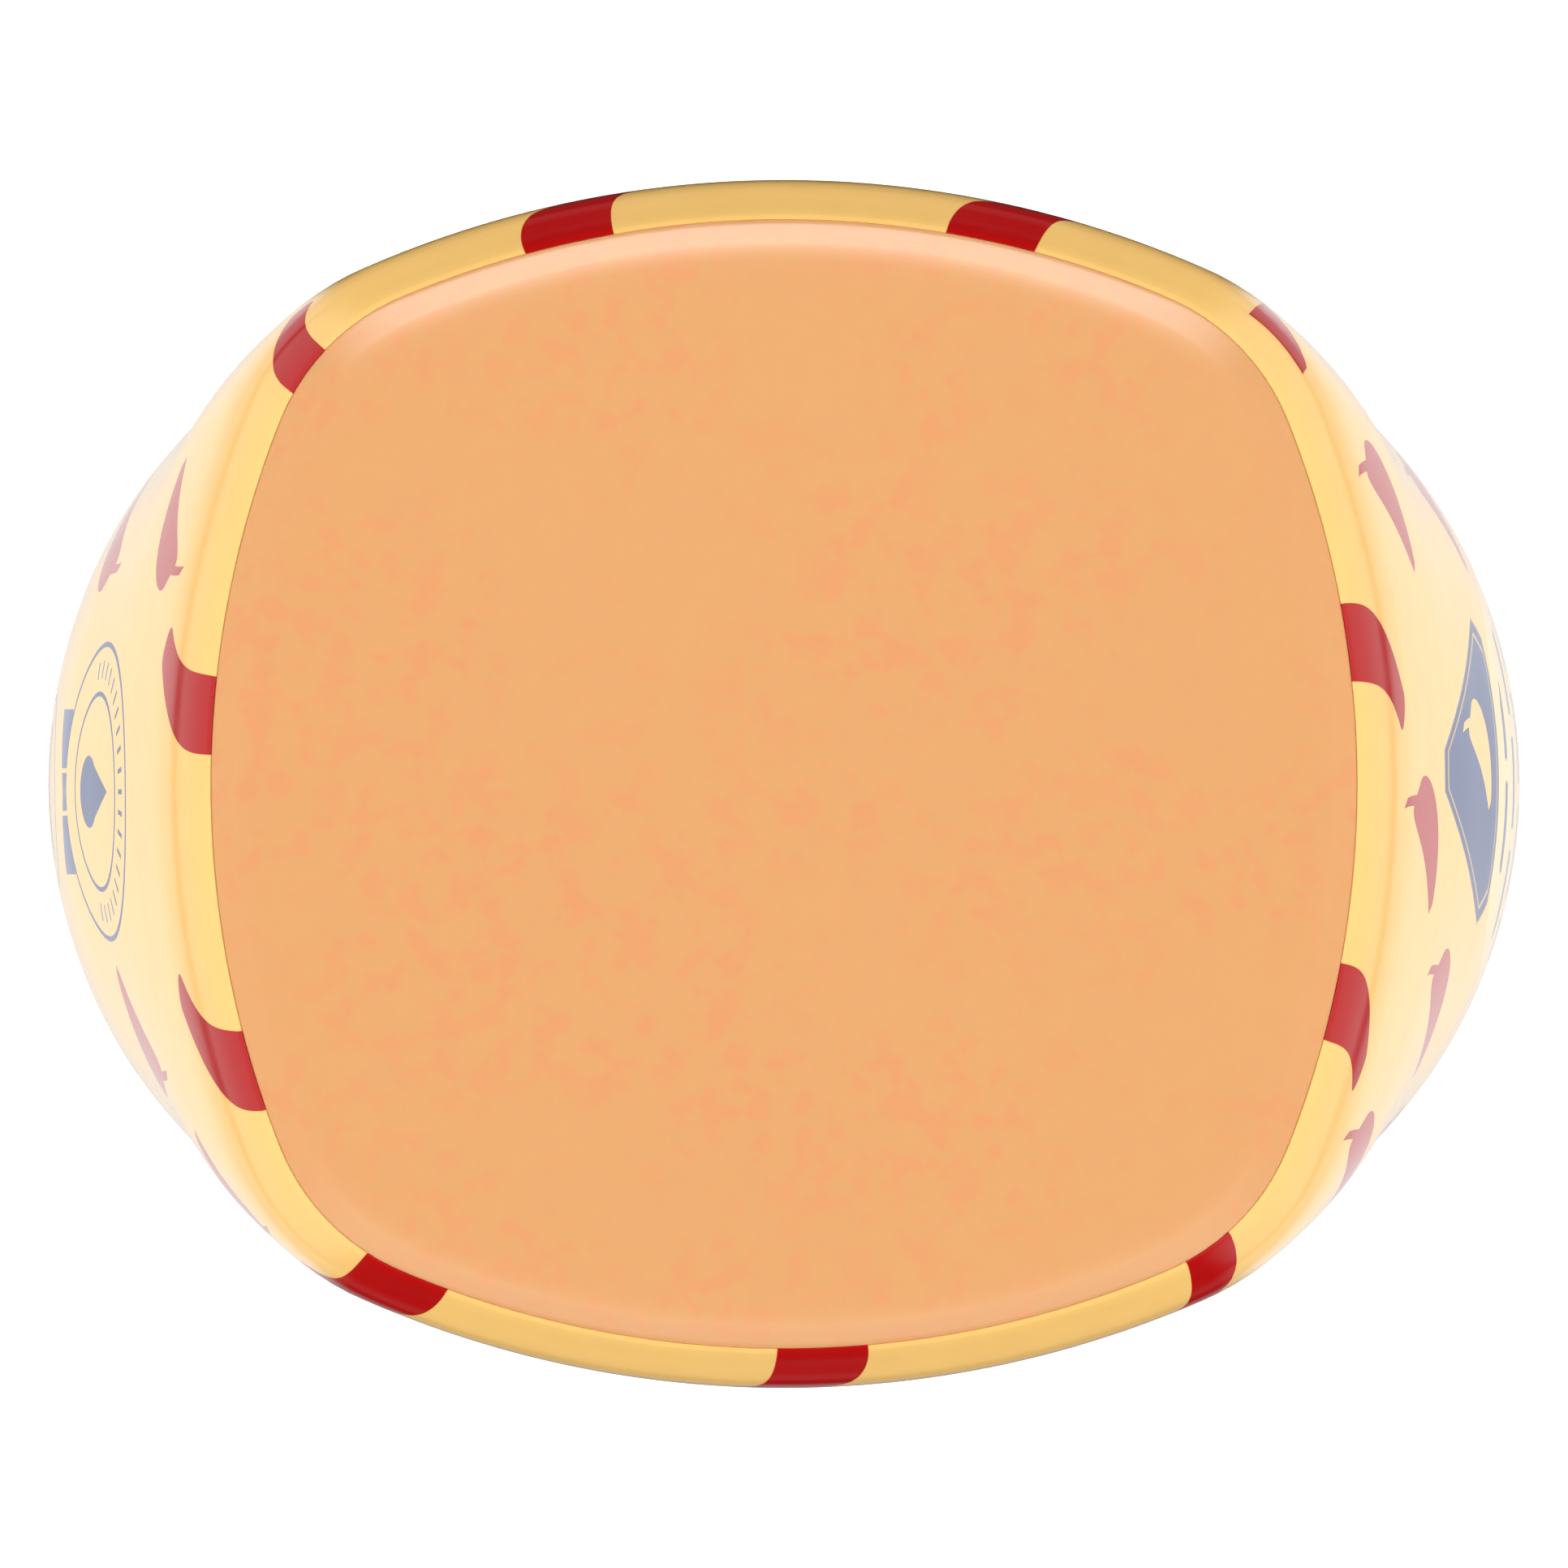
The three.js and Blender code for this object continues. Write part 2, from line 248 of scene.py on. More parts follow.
class Shading:
    """A short way to add and join nodes in one node tree."""

    def __init__(self, tree):
        self.tree = tree

    def join(self, source, socket):
        if isinstance(source, bpy.types.NodeSocket):
            self.tree.links.new(source, socket)
        elif source is not None:
            socket.default_value = source

    def node(self, kind, *sources, output=0, **settings):
        node = self.tree.nodes.new(f"ShaderNode{kind}")
        for key, value in settings.items():
            setattr(node, key, value)
        for socket, source in zip(node.inputs, sources):
            self.join(source, socket)
        return node.outputs[output]

    def named(self, kind, output, **sources):
        node = self.tree.nodes.new(f"ShaderNode{kind}")
        for key, source in sources.items():
            self.join(source, node.inputs[key.replace("_", " ")])
        return node.outputs[output]

    def math(self, operation, *sources, clamp=False):
        return self.node("Math", *sources, operation=operation, use_clamp=clamp)

    def away(self, value, middle):
        """Distance of a value to either side of a middle."""
        return self.math("ABSOLUTE", self.math("SUBTRACT", value, middle))

    def length(self, dx, dy):
        """Length of a flat arrow."""
        return self.math("SQRT", self.math("MULTIPLY_ADD", dx, dx, self.math("MULTIPLY", dy, dy)))

    def axes(self, vector):
        return [self.node("SeparateXYZ", vector, output=i) for i in range(3)]

    def blend(self, share, first, second):
        node = self.tree.nodes.new("ShaderNodeMix")
        node.data_type = "RGBA"
        sockets = {socket.identifier: socket for socket in node.inputs}
        self.join(share, sockets["Factor_Float"])
        self.join(first, sockets["A_Color"])
        self.join(second, sockets["B_Color"])
        return next(s for s in node.outputs if s.identifier == "Result_Color")

    def noise(self, vector, scale, detail=2.0, roughness=0.5):
        settings = {"Vector": vector, "Scale": scale, "Detail": detail, "Roughness": roughness}
        return self.named("TexNoise", "Fac", **settings)

    def spread(self, value, low, high, to_low=0.0, to_high=1.0):
        sources = (value, low, high, to_low, to_high)
        return self.node("MapRange", *sources, interpolation_type="SMOOTHSTEP")

    def bump(self, height, strength, distance):
        settings = {"Strength": strength, "Distance": distance, "Height": height}
        return self.named("Bump", "Normal", **settings)


def new_material(name, **constants):
    """A material with one Principled shader: its nodes, that shader and Object coordinates."""
    material = bpy.data.materials.new(name)
    material.use_nodes = True
    shading = Shading(material.node_tree)
    shader = material.node_tree.nodes["Principled BSDF"]
    for key, value in constants.items():
        shader.inputs[key.replace("_", " ")].default_value = value
    return material, shading, shader.inputs, shading.node("TexCoord", output=3)


def srgb(red, green, blue):
    """A colour given in screen values, as the linear light that shaders use."""
    parts = (c / 255 for c in (red, green, blue))
    return (*(c / 12.92 if c <= 0.04045 else ((c + 0.055) / 1.055) ** 2.4 for c in parts), 1)


# The sauce fills the shell and cancels most of its refraction, so its gloss is a coat.
clear_pet, nodes, shader, place = new_material(
    "clear PET", Transmission_Weight=1.0, IOR=1.03, Roughness=0.02, Coat_Weight=1.0
)
shader["Coat IOR"].default_value = 1.5
shader["Coat Roughness"].default_value = 0.12
flow = nodes.noise(place, 60)
nodes.join(nodes.blend(flow, (1, 1, 1, 1), (0.985, 0.995, 1, 1)), shader["Base Color"])
nodes.join(nodes.bump(flow, 0.1, 0.0002), shader["Normal"])

wall = [(a, BASE_Z - d) for d, a, _, _ in outline]
wall_inside = [(a - WALL, BASE_Z - d) for d, a, _, _ in fall[::-1] if 1 < d < SHOULDER_DEPTH]
shell = turned(
    [
        (0, BASE_Z - BASE_DISH),
        *wall,
        (NECK_BORE, MOUTH_Z),
        (NECK_BORE, BASE_Z - NECK_DEPTH),
        *wall_inside,
        (25.2, BASE_Z - 0.6 - WALL),
        (23.2, BASE_Z - BASE_WALL),
        (10, BASE_Z - 0.25 - BASE_WALL),
        (0, BASE_Z - BASE_DISH - BASE_WALL),
    ],
    BODY_STEPS,
)
shape_to_body(shell)
add_thread(shell, NECK_RADIUS + 0.2, MOUTH_Z + 2.6)
ring_outer = [(20.1, 26.2), (20.4, 26.5), (20.4, 27), (20.1, 27.3)]
add_skin(shell, turned([(17.2, 26.2), *ring_outer, (17.2, 27.3), (17.2, 26.2)], 120))
bmesh.ops.recalc_face_normals(shell, faces=shell.faces)
finish_piece("clear_bottle", shell, clear_pet, ["bottle"])

# ---- Sauce ----
# A thick creamy sauce, coloured by pepper. It wets the whole wall, so its skin is drawn just under
# the plastic's outside and no air shows between them. It fills the bottle to the foil on its neck.

SKIN = 0.03  # depth of the sauce's skin under the outside

creamy_sauce, nodes, shader, place = new_material("creamy sauce", Roughness=0.5, IOR=1.2)
cloud = nodes.spread(nodes.noise(place, 800, 5, 0.65), 0.48, 0.6)
drift = nodes.spread(nodes.noise(place, 110), 0.32, 0.6)
speck = nodes.spread(nodes.noise(place, 2400), 0.66, 0.74)
cream = nodes.blend(nodes.math("MULTIPLY", cloud, drift), srgb(222, 159, 97), srgb(226, 153, 95))
cream = nodes.blend(nodes.math("MULTIPLY", speck, 0.12), cream, srgb(214, 128, 76))
nodes.join(cream, shader["Base Color"])
nodes.join(nodes.bump(cloud, 0.04, 0.0001), shader["Normal"])

wet_neck = NECK_BORE + 0.1
filling = turned(
    [
        (0, BASE_Z - BASE_DISH - SKIN),
        (10, BASE_Z - 0.25 - SKIN),
        (20.6, BASE_Z - 0.03 - SKIN),
        *((a - SKIN, BASE_Z - d - SKIN) for d, a, _, _ in fall if d < SHOULDER_DEPTH),
        (wet_neck, BASE_Z - NECK_DEPTH),
        (wet_neck, MOUTH_Z + 0.2),
        (0, MOUTH_Z + 0.2),
    ],
    BODY_STEPS,
)
shape_to_body(filling)
finish_piece("sauce_filling", filling, creamy_sauce, ["sauce"], crease=50)

# ---- Foil seal ----
# An aluminium disc on a thin plastic web, welded across the mouth by induction. The rim is
# pressed flat on the mouth, and the middle has a fine embossed grid.

foil_low = 1000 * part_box("foil_seal")[0].z
seal_foil, nodes, shader, place = new_material("seal foil", Metallic=1.0)
x, y, _ = nodes.axes(place)
grid = [nodes.math("SINE", nodes.math("MULTIPLY", axis, 5200.0)) for axis in (x, y)]
grid = nodes.math("MULTIPLY", *grid)
crumple = nodes.noise(place, 160, 3)
nodes.join(nodes.blend(crumple, (0.78, 0.78, 0.79, 1), (0.9, 0.9, 0.89, 1)), shader["Base Color"])
nodes.join(nodes.spread(crumple, 0.3, 0.7, 0.24, 0.36), shader["Roughness"])
height = nodes.math("ADD", nodes.math("MULTIPLY", grid, 0.3), crumple)
nodes.join(nodes.bump(height, 0.35, 0.0002), shader["Normal"])

foil = turned(
    [
        (0, foil_low + 0.06),
        (14.4, foil_low + 0.06),
        (15.2, foil_low),
        (17.3, foil_low),
        (17.4, foil_low + 0.08),
        (17.4, foil_low + 0.24),
        (15.4, foil_low + 0.24),
        (0, foil_low + 0.24),
    ],
    96,
)
finish_piece("mouth_foil", foil, seal_foil, ["foil_seal"])

# ---- Shrink sleeve ----
# A glossy film, printed on its inside, slipped over the bottle as a tube and shrunk on in hot
# air. It grips the body from just below the base to just above the cap and is open at both ends.

FILM_HIGH = 0.98  # depth of the cut edge below the base
FILM_LOW = BASE_Z - 33.4  # and of the lower edge, which is 33.4 above the standing face
FILM_THICKNESS = 0.06
PRINT_WIDTH = 185.0  # the print's own width, from seam to seam

film = fall[(fall[:, 0] > FILM_HIGH + 0.1) & (fall[:, 0] < FILM_LOW - 0.2)]
cuts = [[np.interp(d, fall[:, 0], column) for column in fall.T] for d in (FILM_HIGH, FILM_LOW)]
film = np.vstack([cuts[0], film, cuts[1]])
down = np.concatenate(([0], np.cumsum(np.hypot(*np.diff(film[:, :2], axis=0).T))))
PRINT_LENGTH = float(down[-1])

# How far round the film each angle is, for every millimetre of depth: the film shrinks evenly.
angles = np.linspace(0, math.tau, 361)
girths = []
for depth in range(int(FILM_LOW) + 3):
    reach = np.array([section_reach(depth, angle) for angle in angles])
    sides = np.hypot(np.diff(reach * np.cos(angles)), np.diff(reach * np.sin(angles)))
    girths.append(np.concatenate(([0], np.cumsum(sides))) / sides.sum())


def share_round(co):
    """How far round the film a point is from the seam at the back, from 0 to 1."""
    depth = BASE_Z - co.z
    level = int(depth)
    angle = math.atan2(co.y, co.x) % math.tau
    high, low = (np.interp(angle, angles, girth) for girth in girths[level : level + 2])
    return float(high + (low - high) * (depth - level) - 0.25) % 1


over_wall = np.interp(film[:, 0], (FILM_HIGH, 3), (-0.045, 0.02))  # the cut edge lies flush
film_line = [(a + over, BASE_Z - d) for (d, a, _, _), over in zip(film, over_wall)]
sleeve = turned(film_line, BODY_STEPS)
shape_to_body(sleeve)
if max(sleeve.faces, key=lambda face: face.calc_center_median().x).normal.x < 0:
    bmesh.ops.reverse_faces(sleeve, faces=sleeve.faces)
bmesh.ops.solidify(sleeve, geom=sleeve.faces, thickness=-FILM_THICKNESS)
flat_film = sleeve.loops.layers.uv.new("flat film")
on_film = {
    v: (share_round(v.co), float(np.interp(BASE_Z - v.co.z, film[:, 0], down)) / PRINT_LENGTH)
    for v in sleeve.verts
}
for face in sleeve.faces:
    shares = [on_film[loop.vert] for loop in face.loops]
    seam = max(shares)[0] - min(shares)[0] > 0.5
    for loop, (u, v) in zip(face.loops, shares):
        loop[flat_film].uv = (u + 1 if seam and u < 0.5 else u), v


def node_group(name, inputs, outputs):
    """A shader node group with named inputs and outputs: its tree, nodes and both ends."""
    tree = bpy.data.node_groups.new(name, "ShaderNodeTree")
    for socket, kind in inputs.items():
        tree.interface.new_socket(socket, in_out="INPUT", socket_type=f"NodeSocket{kind}")
    for socket, kind in outputs.items():
        tree.interface.new_socket(socket, in_out="OUTPUT", socket_type=f"NodeSocket{kind}")
    given = tree.nodes.new("NodeGroupInput").outputs
    return tree, Shading(tree), given, tree.nodes.new("NodeGroupOutput").inputs


def use_group(shading, tree, *sources):
    """Places a node group in a tree, with its inputs joined in order."""
    node = shading.tree.nodes.new("ShaderNodeGroup")
    node.node_tree = tree
    for socket, source in zip(node.inputs, sources):
        shading.join(source, socket)
    return node.outputs


# A chilli one unit long: a blunt shoulder at x -0.5 with a hooked stalk, and a tip at x 0.5.
chilli, nodes, given, result = node_group("chilli", {"Place": "Vector"}, {"Mask": "Float"})
x, y, _ = nodes.axes(given["Place"])
t = nodes.math("MAXIMUM", nodes.math("ADD", x, 0.5), 0.0)
rest = nodes.math("MAXIMUM", nodes.math("SUBTRACT", 1.0, t), 0.0)
curve = nodes.math("MULTIPLY", nodes.math("SUBTRACT", t, 0.95), t)
curve = nodes.math("MULTIPLY_ADD", curve, 0.62, -0.08)
off = nodes.away(y, curve)
swell = nodes.math("MULTIPLY", nodes.math("POWER", t, 0.28), nodes.math("POWER", rest, 0.8))
flesh = nodes.math("SUBTRACT", nodes.math("MULTIPLY_ADD", swell, 0.38, 0.05), off)
within = nodes.math("SUBTRACT", 0.5, nodes.math("ABSOLUTE", x))
flesh = nodes.math("MINIMUM", flesh, within)
up = nodes.math("SUBTRACT", -0.44, x)
hook = nodes.math("MULTIPLY_ADD", nodes.math("MULTIPLY", up, up), 1.5, -0.06)
stalk = nodes.math("SUBTRACT", 0.06, nodes.away(y, nodes.math("ADD", up, hook)))
span = nodes.math("SUBTRACT", 0.09, nodes.away(up, 0.12))
stalk = nodes.math("MINIMUM", stalk, span)
shape = nodes.math("MULTIPLY", nodes.math("MAXIMUM", flesh, stalk), 150.0, clamp=True)
nodes.join(shape, result["Mask"])

# Small chillies in staggered rows that all lean one way, each turned a little differently.
COLUMN = PRINT_WIDTH / 12
ROW = 8.1
FIRST_ROW = 5.4
scatter, nodes, given, result = node_group(
    "scattered chillies",
    {"Film": "Vector", "Shift": "Float"},
    {"Mask": "Float", "Middle across": "Float", "Middle down": "Float"},
)
x, y, _ = nodes.axes(given["Film"])
rows_down = nodes.math("DIVIDE", nodes.math("SUBTRACT", y, FIRST_ROW), ROW)
row = nodes.math("FLOOR", rows_down)
odd_row = nodes.math("PINGPONG", row, 1.0)
stagger = nodes.math("MULTIPLY_ADD", odd_row, 0.5 * COLUMN, given["Shift"])
columns = nodes.math("DIVIDE", nodes.math("SUBTRACT", x, stagger), COLUMN)
column = nodes.math("FLOOR", columns)
cell = nodes.node("CombineXYZ", nodes.math("WRAP", column, 12.0, 0.0), row, 0.0)
luck = nodes.math("SUBTRACT", nodes.node("TexWhiteNoise", cell), 0.5)
middle_x = nodes.math("MULTIPLY_ADD", nodes.math("ADD", column, 0.5), COLUMN, stagger)
middle_y = nodes.math("MULTIPLY_ADD", nodes.math("ADD", row, 0.55), ROW, FIRST_ROW)
local_x = nodes.math("SUBTRACT", x, middle_x)
local_y = nodes.math("SUBTRACT", y, middle_y)
local = nodes.node("CombineXYZ", local_x, local_y, 0.0)
turn = nodes.math("MULTIPLY_ADD", luck, 0.15, math.radians(219))
local = nodes.node("VectorRotate", local, None, (0, 0, 1), turn)
size = nodes.math("MULTIPLY_ADD", luck, 0.5, 6.7)
shrink = nodes.math("DIVIDE", 1.0, size)
local = nodes.node("VectorMath", local, None, None, shrink, operation="SCALE")
started = nodes.math("GREATER_THAN", y, FIRST_ROW)
mask = use_group(nodes, chilli, local)["Mask"]
nodes.join(nodes.math("MULTIPLY", mask, started), result["Mask"])
nodes.join(middle_x, result["Middle across"])
nodes.join(middle_y, result["Middle down"])

# Broad chilli tips that hang from the film's cut edge and curl one way at their ends: where the
# middle is at the edge, the width there, the length, and how far the tip leans over.
TIPS = (
    (10.6, 4.5, 7.0, 0.4),
    (25.2, 2.7, 5.4, 0.0),
    (42.9, 3.9, 7.2, 0.0),
    (60.5, 4.1, 6.7, 1.8),
    (73.5, 4.4, 7.0, -0.2),
    (94.4, 4.5, 7.0, 0.4),
    (114.1, 2.6, 6.5, 1.5),
    (128.0, 3.9, 5.2, -0.3),
    (145.7, 3.9, 6.3, 0.8),
    (174.8, 4.5, 7.0, 0.0),
)
tips, nodes, given, result = node_group(
    "chilli tips", {"Across": "Float", "Down": "Float"}, {"Mask": "Float"}
)
picker = nodes.tree.nodes.new("ShaderNodeValToRGB")
picker.color_ramp.interpolation = "CONSTANT"
stops = picker.color_ramp.elements
while len(stops) < len(TIPS):
    stops.new(0.5)
for i, (middle, width, length, lean) in enumerate(TIPS):
    stops[i].position = (middle + TIPS[i - 1][0]) / 2 / PRINT_WIDTH if i else 0
    stops[i].color = middle / PRINT_WIDTH, width / 10, length / 10, (lean + 5) / 10
nodes.join(nodes.math("DIVIDE", given["Across"], PRINT_WIDTH), picker.inputs["Fac"])
picked = picker.outputs["Color"]
middle, width, length = (nodes.node("SeparateColor", picked, output=i) for i in range(3))
half = nodes.math("MULTIPLY", width, 5.0)
lean = nodes.math("MULTIPLY_ADD", picker.outputs["Alpha"], 10.0, -5.0)
s = nodes.math("DIVIDE", given["Down"], nodes.math("MULTIPLY", length, 10.0))
s = nodes.math("MAXIMUM", s, 0.0)
x = nodes.math("SUBTRACT", given["Across"], nodes.math("MULTIPLY", middle, PRINT_WIDTH))
x = nodes.math("DIVIDE", nodes.math("MULTIPLY_ADD", lean, s, x), half)
end = nodes.math("MAXIMUM", nodes.math("SUBTRACT", s, 0.82), 0.0)
outer = nodes.math("MULTIPLY_ADD", nodes.math("POWER", s, 3.5), -1.75, -1.0)
outer = nodes.math("MULTIPLY_ADD", nodes.math("MULTIPLY", end, end), 48.0, outer)
inner = nodes.math("MULTIPLY_ADD", nodes.math("POWER", s, 2.8), -2.12, 1.0)
gap = nodes.math("MINIMUM", nodes.math("SUBTRACT", x, outer), nodes.math("SUBTRACT", inner, x))
gap = nodes.math("MINIMUM", gap, nodes.math("SUBTRACT", 1.0, s))
nodes.join(nodes.math("MULTIPLY", gap, 50.0, clamp=True), result["Mask"])

printed_film, nodes, shader, place = new_material("printed film", IOR=1.5)
uv = nodes.tree.nodes.new("ShaderNodeUVMap")
uv.uv_map = "flat film"
across, down_share, _ = nodes.axes(uv.outputs[0])
x = nodes.math("MULTIPLY", across, PRINT_WIDTH)
y = nodes.math("MULTIPLY", down_share, PRINT_LENGTH)
flat = nodes.node("CombineXYZ", x, y, 0.0)


def apart(x, y, centre_x, centre_y, half_width=1.0, half_height=1.0):
    """Distance from a centre, as a share of an ellipse's half sizes."""
    dx = nodes.math("DIVIDE", nodes.math("SUBTRACT", x, centre_x), half_width)
    dy = nodes.math("DIVIDE", nodes.math("SUBTRACT", y, centre_y), half_height)
    return nodes.length(dx, dy)


def inside(value, edge, sharp=30.0):
    """A crisp mask that is 1 where a value is under an edge."""
    return nodes.math("MULTIPLY", nodes.math("SUBTRACT", edge, value), sharp, clamp=True)


def hoop(distance, radius, half_width):
    """A printed band of a half width on either side of a distance."""
    return inside(nodes.away(distance, radius), half_width)


def motif(source, centre, angle, length, girth=1.0):
    """One chilli on the film with its tip at an angle; a girth under 0 bows it backwards."""
    turn = (0, 0, math.radians(angle))
    size = (length, length * girth, 1)
    local = nodes.node("Mapping", source, (*centre, 0), turn, size, vector_type="TEXTURE")
    return use_group(nodes, chilli, local)["Mask"]


def ink(mask, colour):
    """Prints a colour over what is on the film so far."""
    global print_colour
    print_colour = nodes.blend(mask, print_colour, colour)


def round_half(x):
    """Brings a place on either half of the film to between a quarter each way of a wide face."""
    return nodes.math("WRAP", x, PRINT_WIDTH / 4, -PRINT_WIDTH / 4)


def arch(x, y, grow):
    """Distance in a tall panel with round ends, over a narrow side."""
    dx = nodes.math("SUBTRACT", nodes.math("ABSOLUTE", round_half(x)), PRINT_WIDTH / 4)
    dx = nodes.math("DIVIDE", dx, PANEL_HALF_WIDTH + grow)
    centre = nodes.math("MULTIPLY_ADD", on_left, 8.5, 71.5)
    straight = nodes.math("MULTIPLY_ADD", on_left, -8.5, 36.0)
    dy = nodes.math("SUBTRACT", nodes.away(y, centre), straight)
    dy = nodes.math("DIVIDE", nodes.math("MAXIMUM", dy, 0.0), PANEL_END + grow)
    return nodes.length(dx, dy)


PANEL_HALF_WIDTH = 10.0
PANEL_END = 11.0  # height of a panel's round ends
OVAL_Y = 66.0  # middle of the oval on each wide face
DROP = (PRINT_WIDTH / 4 + 0.35, 19.8)  # middle of the round drop mark on one narrow side
LOWER_MARK = (DROP[0], DROP[1] + 14.9)  # middle of the small ring under it
BADGE = (PRINT_WIDTH * 3 / 4 + 0.6, 21.1)  # middle of the three-sided badge on the other
yellow, cream, pale = srgb(243, 196, 114), srgb(252, 228, 170), srgb(246, 210, 148)
red, blue = srgb(176, 8, 10), srgb(16, 58, 118)
print_colour = yellow

on_left = nodes.math("LESS_THAN", x, PRINT_WIDTH / 2)
small = use_group(nodes, scatter, flat, nodes.math("MULTIPLY_ADD", on_left, -9.05, 4.4))
middle_x, middle_y = small["Middle across"], small["Middle down"]
mask = small["Mask"]
# A small chilli is left out whole where its middle is on a panel or a mark.
for blocked in (
    inside(apart(round_half(middle_x), middle_y, 0.0, OVAL_Y, 29.0, 43.0), 1.0, 1000),
    inside(apart(middle_x, middle_y, *DROP), 10.5, 1000),
    inside(apart(middle_x, middle_y, *LOWER_MARK), 8.0, 1000),
    inside(apart(middle_x, middle_y, *BADGE), 8.8, 1000),
    inside(arch(middle_x, middle_y, 3.4), 1.0, 1000),
    inside(nodes.math("SUBTRACT", PRINT_LENGTH, middle_y), 10.0, 1000),
    hoop(middle_x, PRINT_WIDTH / 2 - 1.5, 3.6),
    hoop(middle_x, PRINT_WIDTH, 3.6),
):
    mask = nodes.math("SUBTRACT", mask, blocked, clamp=True)
ink(mask, red)
from_bottom = nodes.math("SUBTRACT", PRINT_LENGTH, y)
ink(use_group(nodes, tips, x, y)["Mask"], red)
ink(use_group(nodes, tips, x, from_bottom)["Mask"], red)

# Each wide face: an oval panel with two large chillies.
face_x = round_half(x)
face = nodes.node("CombineXYZ", face_x, y, 0.0)
panel = apart(face_x, y, 0.0, OVAL_Y, 25.0, 38.0)
ink(inside(panel, 1.05, 400), blue)
ink(inside(panel, 1.03, 400), cream)
ink(inside(panel, 0.97, 400), red)
ink(motif(face, (-3.0, OVAL_Y + 1), 106, 50.0, -0.5), srgb(250, 206, 96))
ink(motif(face, (5.0, OVAL_Y - 2), 74, 42.0, 0.5), srgb(240, 150, 60))

# Each narrow side: a pale arched panel with rows of broken blue rules, under its own mark.
panel = arch(x, y, 0.0)
ink(inside(panel, 1.0, 200), pale)
LINE_PITCH = 2.9
FIRST_LINE = 27.8
rules = nodes.math("PINGPONG", nodes.math("SUBTRACT", y, FIRST_LINE), LINE_PITCH / 2)
past_first = nodes.math("SUBTRACT", y, FIRST_LINE - LINE_PITCH / 2)
line = nodes.math("FLOOR", nodes.math("DIVIDE", past_first, LINE_PITCH))
breaks = nodes.math("SINE", nodes.math("MULTIPLY_ADD", line, 1.9, nodes.math("MULTIPLY", x, 0.62)))
rules = nodes.math("MULTIPLY", inside(rules, 0.42), inside(nodes.math("ABSOLUTE", breaks), 0.97))
ink(nodes.math("MULTIPLY", rules, inside(panel, 0.82, 200)), blue)

distance = apart(x, y, *DROP)
for radius, half_width in ((6.65, 0.14), (4.4, 0.13)):
    ink(hoop(distance, radius, half_width), blue)
lower = apart(x, y, *LOWER_MARK)
ink(hoop(lower, 4.25, 0.14), blue)
bars = hoop(nodes.away(y, LOWER_MARK[1]), 1.1, 0.45)
ink(nodes.math("MULTIPLY", inside(lower, 3.3), bars), blue)
local_x, local_y = (nodes.math("SUBTRACT", *pair) for pair in ((x, DROP[0]), (y, DROP[1])))
bearing = nodes.math("ARCTAN2", local_y, local_x)
ticks = nodes.math("ABSOLUTE", nodes.math("SINE", nodes.math("MULTIPLY", bearing, 18.0)))
ticks = nodes.math("MULTIPLY", inside(ticks, 0.45, 6.0), hoop(distance, 5.5, 0.42))
ink(nodes.math("MULTIPLY", ticks, inside(local_y, 1.5)), blue)
taper = nodes.math("MULTIPLY", nodes.math("ADD", local_y, 2.8), 0.42)
drop = nodes.math("MINIMUM", nodes.math("SUBTRACT", taper, nodes.math("ABSOLUTE", local_x)), 1.6)
drop = nodes.math("MULTIPLY", nodes.math("MULTIPLY", drop, 20.0, clamp=True), inside(local_y, 1.0))
bead = inside(apart(x, y, DROP[0], DROP[1] + 1.35, 1.65, 1.9), 1.0)
ink(nodes.math("MAXIMUM", drop, bead), blue)
bow_x = nodes.math("ABSOLUTE", local_x)
bow_y = nodes.away(local_y, 7.2)
loop = nodes.math("SUBTRACT", nodes.math("MULTIPLY_ADD", bow_x, 0.3, 0.35), bow_y)
loop = nodes.math("MINIMUM", loop, nodes.math("SUBTRACT", 3.7, bow_x))
ink(nodes.math("MULTIPLY", loop, 30.0, clamp=True), blue)
ink(hoop(bow_x, 0.95, 0.12), nodes.blend(inside(bow_y, 1.0), print_colour, yellow))

local_x, local_y = (nodes.math("SUBTRACT", *pair) for pair in ((x, BADGE[0]), (y, BADGE[1])))
slant = nodes.math("MULTIPLY", nodes.math("ABSOLUTE", local_x), 0.866)
slant = nodes.math("MULTIPLY_ADD", local_y, -0.5, slant)
badge = nodes.math("DIVIDE", nodes.math("MAXIMUM", slant, local_y), 4.6)
badge = nodes.math("MAXIMUM", badge, nodes.math("DIVIDE", apart(x, y, *BADGE), 7.6))
ink(inside(badge, 1.0), blue)
ink(hoop(badge, 0.88, 0.025), yellow)
ink(motif(flat, (BADGE[0] + 0.2, BADGE[1] + 0.3), 135, 5.6), yellow)

# The print starts and stops at the glued seam, which cuts one chilli off. Ink lies a little
# unevenly, and the shrunk film keeps a faint ripple.
SEAM = 162.2
whole = motif(flat, (SEAM + 0.6, 2.5), 172, 9.0)
ink(nodes.math("MULTIPLY", whole, inside(x, SEAM)), red)
uneven = nodes.noise(place, 500, 3)
ink(nodes.spread(uneven, 0.3, 0.9, 0.0, 0.05), srgb(150, 60, 20))
nodes.join(print_colour, shader["Base Color"])
nodes.join(nodes.spread(uneven, 0.3, 0.7, 0.07, 0.1), shader["Roughness"])
ripple = nodes.math("MULTIPLY_ADD", hoop(x, SEAM + 3, 3), 0.2, nodes.noise(place, 40, 1))
nodes.join(nodes.bump(ripple, 0.05, 0.0003), shader["Normal"])

finish_piece("shrink_film", sleeve, printed_film, ["shrink_sleeve"])

# ---- Closure body ----
# A red polypropylene moulding: an outer skirt that carries on the line of the bottle, an inner
# skirt with the screw thread, a seal bead, and a deck with the spout. It is screwed on the neck.

